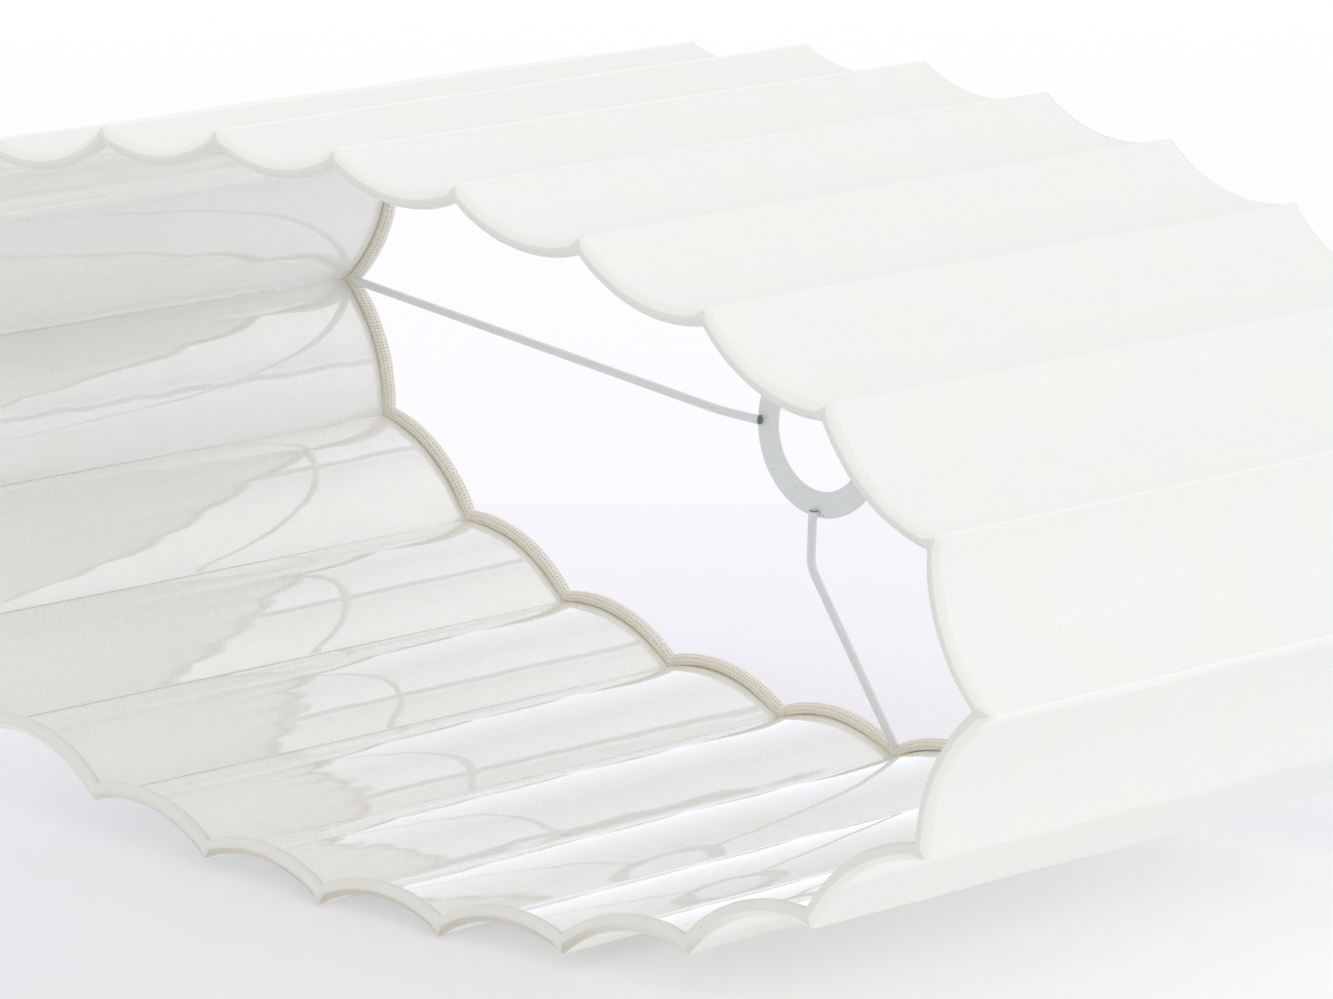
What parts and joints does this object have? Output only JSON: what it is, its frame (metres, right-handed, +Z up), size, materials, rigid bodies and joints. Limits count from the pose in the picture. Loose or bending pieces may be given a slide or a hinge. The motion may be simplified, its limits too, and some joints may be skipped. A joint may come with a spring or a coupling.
{
  "type": "lampshade",
  "caption": "Oval drum lampshade with inward curved flutes, scalloped rims, a clear lining and a recessed ring fitter on kinked wire arms, lying on its side.",
  "frame": {"origin": "under the middle of the shade, on the surface it rests on (the bottom centre of its bounding box)", "axes": "the shade lies on its long side: +X along the oval's long axis (rocked 2.4 degrees about Y, because it rests on two neighbouring ridges), +Y along the shade's own axis towards the fitter end, +Z up"},
  "size_m": [0.5994, 0.284, 0.2568],
  "materials": {
    "linen": "matte plain weave with slubs",
    "film": "clear glossy film over linen",
    "binding": "matte fine weave, rolled",
    "ring_wire": "satin",
    "painted_fitter": "satin white paint"
  },
  "bodies": {
    "root": {"linen_cover": "linen", "liner_panel_01": "film", "liner_panel_02": "film", "liner_panel_03": "film", "liner_panel_04": "film", "liner_panel_05": "film", "liner_panel_06": "film", "liner_panel_07": "film", "liner_panel_08": "film", "liner_panel_09": "film", "liner_panel_10": "film", "liner_panel_11": "film", "liner_panel_12": "film", "liner_panel_13": "film", "liner_panel_14": "film", "liner_panel_15": "film", "liner_panel_16": "film", "liner_panel_17": "film", "liner_panel_18": "film", "liner_panel_19": "film", "liner_panel_20": "film", "liner_panel_21": "film", "liner_panel_22": "film", "liner_panel_23": "film", "liner_panel_24": "film", "rim_binding_open_end": "binding", "rim_binding_fitter_end": "binding", "ring_wire_open_end": "ring_wire", "ring_wire_fitter_end": "ring_wire", "fitter_washer": "painted_fitter", "fitter_arm_right": "painted_fitter", "fitter_arm_top": "painted_fitter", "fitter_arm_left": "painted_fitter", "fitter_arm_bottom": "painted_fitter"}
  },
  "joints": []
}
